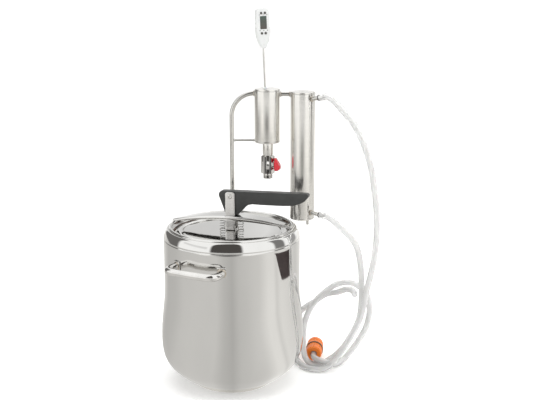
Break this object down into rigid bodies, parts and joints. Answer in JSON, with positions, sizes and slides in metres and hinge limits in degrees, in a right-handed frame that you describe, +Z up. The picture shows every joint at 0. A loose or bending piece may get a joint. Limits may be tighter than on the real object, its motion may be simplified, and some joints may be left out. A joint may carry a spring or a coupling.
{
  "type": "stove-top pot still",
  "caption": "Stove-top still: bulged steel pot with a cam-clamped lid, steam column, water-cooled condenser, drain valve, probe thermometer and clear cooling hoses.",
  "frame": {"origin": "centre of the base's underside, on the pot's own axis", "axes": "+Z up along the pot's axis, -Y the front, +X towards the hoses"},
  "size_m": [0.4304, 0.3348, 0.7316],
  "materials": {
    "polished_steel": "mirror-polished stainless steel",
    "brushed_steel": "finely brushed stainless steel tube",
    "plain_steel": "bright stainless steel, lightly polished",
    "base_core": "plain aluminium disc, sealed in the base",
    "gasket": "brown silicone gasket",
    "black_plastic": "satin black moulded plastic",
    "white_plastic": "white moulded plastic",
    "white_silicone": "white silicone",
    "red_handle": "glossy red enamel on die-cast metal",
    "lcd": "dark green-grey liquid crystal screen",
    "circuit_board": "green circuit board",
    "button": "dark soft button",
    "clear_hose": "clear, slightly milky silicone hose",
    "orange_plastic": "orange moulded plastic",
    "dark_plastic": "dark grey moulded plastic"
  },
  "bodies": {
    "root": {"pot_shell": "polished_steel", "base_cap": "polished_steel", "lid": "polished_steel", "vapour_pipe": "brushed_steel", "brace_rod": "brushed_steel", "steamer_jacket": "brushed_steel", "steamer_cap_top": "brushed_steel", "steamer_cap_bottom": "brushed_steel", "condenser_jacket": "brushed_steel", "condenser_cap_top": "brushed_steel", "condenser_cap_bottom": "brushed_steel", "link_pipe": "brushed_steel", "drain_neck": "brushed_steel", "product_outlet": "brushed_steel", "condenser_coil": "brushed_steel", "handle_left": "plain_steel", "handle_left_pad_front": "plain_steel", "handle_left_pad_back": "plain_steel", "handle_right": "plain_steel", "handle_right_pad_front": "plain_steel", "handle_right_pad_back": "plain_steel", "yoke": "plain_steel", "yoke_bolt": "plain_steel", "yoke_nut": "plain_steel", "pivot_pin": "plain_steel", "lift_spring_left": "plain_steel", "lift_spring_right": "plain_steel", "spigot": "plain_steel", "spigot_nut": "plain_steel", "nipple_outlet": "plain_steel", "nipple_inlet": "plain_steel", "valve_body": "plain_steel", "valve_outlet": "plain_steel", "base_core": "base_core", "lid_gasket": "gasket", "spigot_washer": "white_silicone", "probe_bung": "white_silicone", "hose_outlet": "clear_hose", "hose_inlet": "clear_hose", "connector_body": "orange_plastic", "connector_collar": "orange_plastic", "connector_ring": "dark_plastic"},
    "crossbar": {"crossbar": "polished_steel"},
    "clamp_lever": {"clamp_lever": "black_plastic"},
    "valve_handle": {"valve_ball": "polished_steel", "valve_stem": "plain_steel", "valve_handle": "red_handle"},
    "thermometer": {"thermometer_probe": "plain_steel", "thermometer_front": "white_plastic", "thermometer_back": "white_plastic", "display": "lcd", "circuit_board": "circuit_board", "battery_cover": "white_plastic", "battery_cell": "plain_steel"},
    "button_power": {"button_power": "button"},
    "button_hold": {"button_hold": "button"},
    "button_max_min": {"button_max_min": "button"},
    "button_units": {"button_units": "button"},
    "union_nut": {"union_nut": "plain_steel"},
    "connector_nut": {"connector_nut": "orange_plastic"}
  },
  "joints": [
    {"name": "clamp_lever_swing", "type": "hinge", "parent": "root", "child": "clamp_lever", "pos_m": [0, 0, 0.376], "axis": [-0.2588, -0.9659, 0], "range_deg": [0, 100]},
    {"name": "crossbar_lift", "type": "slide", "parent": "root", "child": "crossbar", "axis": [0, 0, 1], "range_m": [0, 0.0041], "deforming": ["lift_spring_left", "lift_spring_right"]},
    {"name": "valve_turn", "type": "hinge", "parent": "root", "child": "valve_handle", "pos_m": [0.0705, 0.045, 0.4285], "axis": [0.9511, -0.309, 0], "range_deg": [0, 90]},
    {"name": "thermometer_pull", "type": "slide", "parent": "root", "child": "thermometer", "axis": [-0.0419, 0, 0.9991], "range_m": [0, 0.12]},
    {"name": "union_nut_turn", "type": "hinge", "parent": "root", "child": "union_nut", "pos_m": [0, 0.045, 0.32], "axis": [0, 0, 1], "continuous": true},
    {"name": "connector_nut_turn", "type": "hinge", "parent": "root", "child": "connector_nut", "pos_m": [0.1655, 0.07, 0.0186], "axis": [0.11, 0.9939, 0], "continuous": true},
    {"name": "button_power_press", "type": "slide", "parent": "thermometer", "child": "button_power", "axis": [-0.3417, 0.9397, -0.0143], "range_m": [0, 0.0005], "stiffness_N_per_m": 400},
    {"name": "button_hold_press", "type": "slide", "parent": "thermometer", "child": "button_hold", "axis": [-0.3417, 0.9397, -0.0143], "range_m": [0, 0.0005], "stiffness_N_per_m": 400},
    {"name": "button_max_min_press", "type": "slide", "parent": "thermometer", "child": "button_max_min", "axis": [-0.3417, 0.9397, -0.0143], "range_m": [0, 0.0005], "stiffness_N_per_m": 400},
    {"name": "button_units_press", "type": "slide", "parent": "thermometer", "child": "button_units", "axis": [-0.3417, 0.9397, -0.0143], "range_m": [0, 0.0005], "stiffness_N_per_m": 400}
  ],
  "couplings": [
    {"joint": "crossbar_lift", "follows": "clamp_lever_swing", "m_per_rad": 0.0022918}
  ]
}
